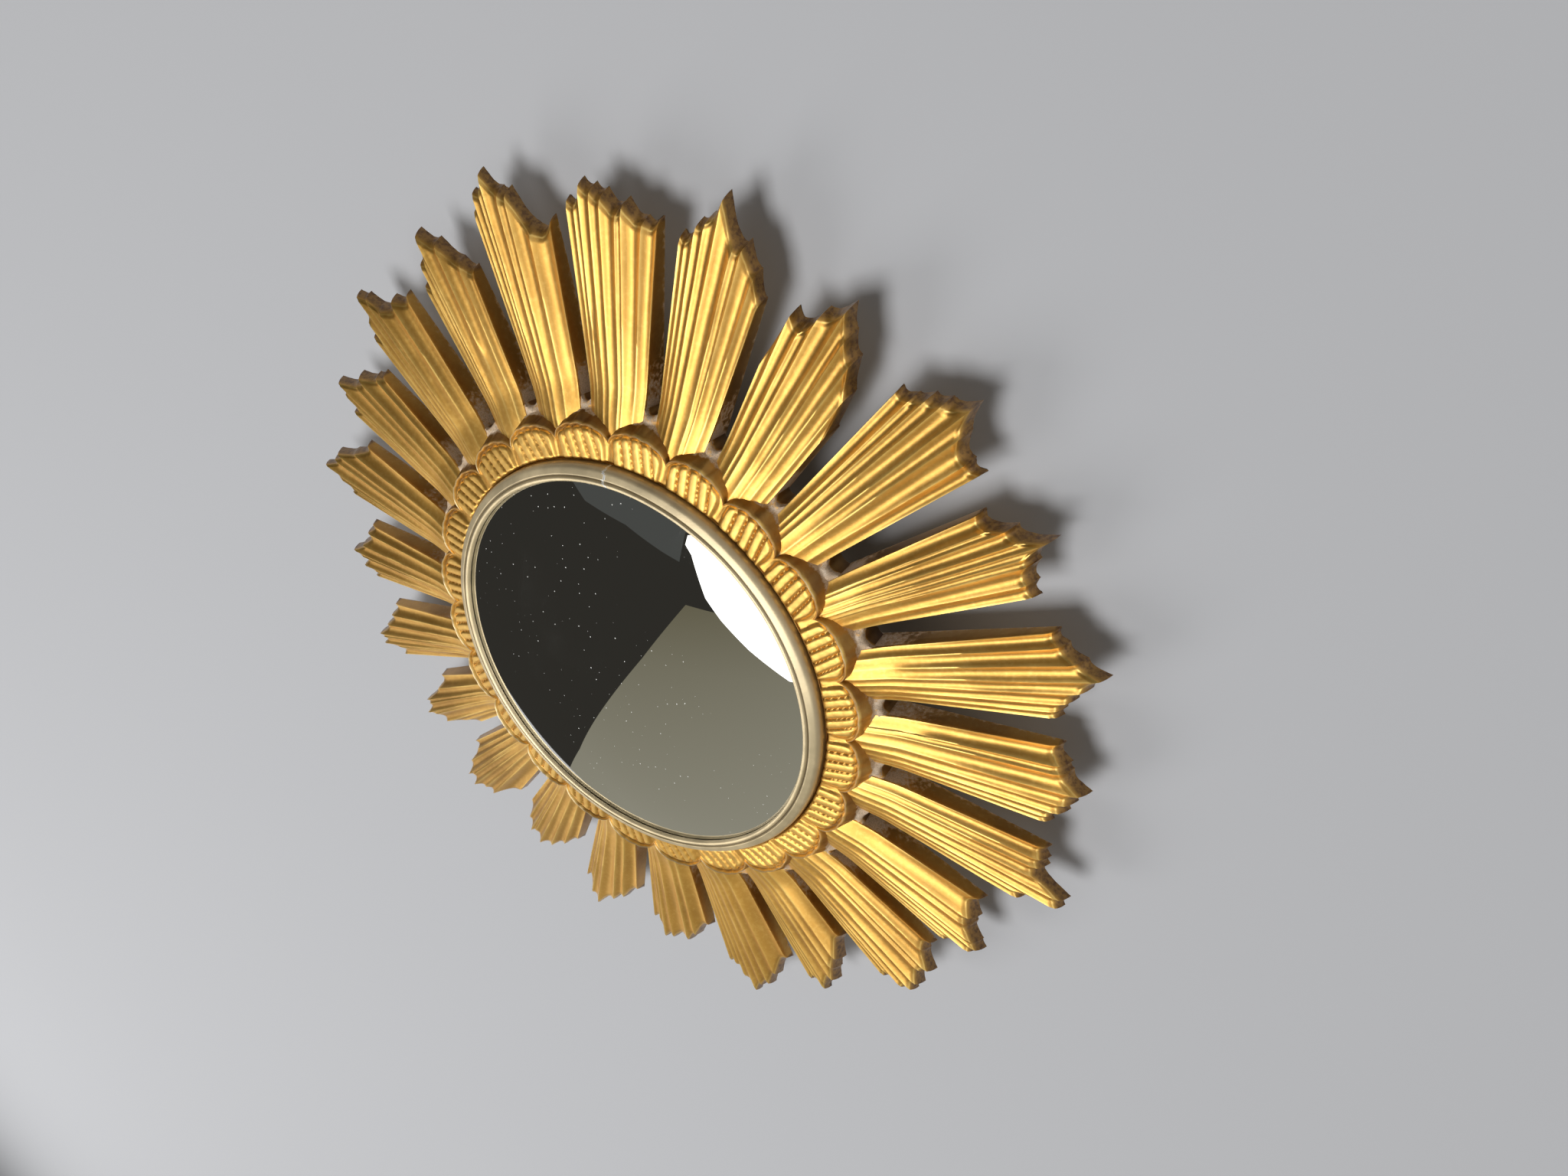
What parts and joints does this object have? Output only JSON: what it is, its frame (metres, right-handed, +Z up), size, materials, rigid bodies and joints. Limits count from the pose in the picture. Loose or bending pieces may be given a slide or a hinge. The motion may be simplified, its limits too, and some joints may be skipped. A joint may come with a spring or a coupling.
{
  "type": "sunburst mirror",
  "caption": "Round convex wall mirror in a gilded sunburst frame of fluted rays and gadrooned petals, with a board back and a hanging ring that swings.",
  "frame": {"origin": "on the wall plane, at the axis of the round glass", "axes": "+Y into the wall, so the glass faces -Y; +Z up; +X to the right of someone facing the mirror"},
  "size_m": [0.5585, 0.075, 0.5477],
  "materials": {
    "gilt_resin": "antique gold paint over cast resin, worn bright on the ridges and brown in the flutes",
    "gilt_strip": "dull olive gold, rubbed",
    "silvered_glass": "back-silvered convex glass, a few specks",
    "felt": "black felt",
    "hardboard": "brown hardboard, smooth side out",
    "pin_brass": "brassed steel",
    "strap_steel": "zinc plated",
    "screw_steel": "zinc plated",
    "ring_steel": "zinc plated wire",
    "pad_rubber": "matt"
  },
  "bodies": {
    "mirror": {"sunburst_frame": "gilt_resin", "bezel_strip": "gilt_strip", "convex_mirror": "silvered_glass", "packing_ring": "felt", "backing_board": "hardboard", "backing_pins": "pin_brass", "hanger_strap": "strap_steel", "hanger_screws": "screw_steel", "wall_pads": "pad_rubber"},
    "hanger": {"hanger_ring": "ring_steel"}
  },
  "joints": [
    {"name": "hanger_swing", "type": "hinge", "parent": "mirror", "child": "hanger", "pos_m": [0, -0.003, 0.1408], "axis": [1, 0, 0], "range_deg": [0, 180]}
  ]
}
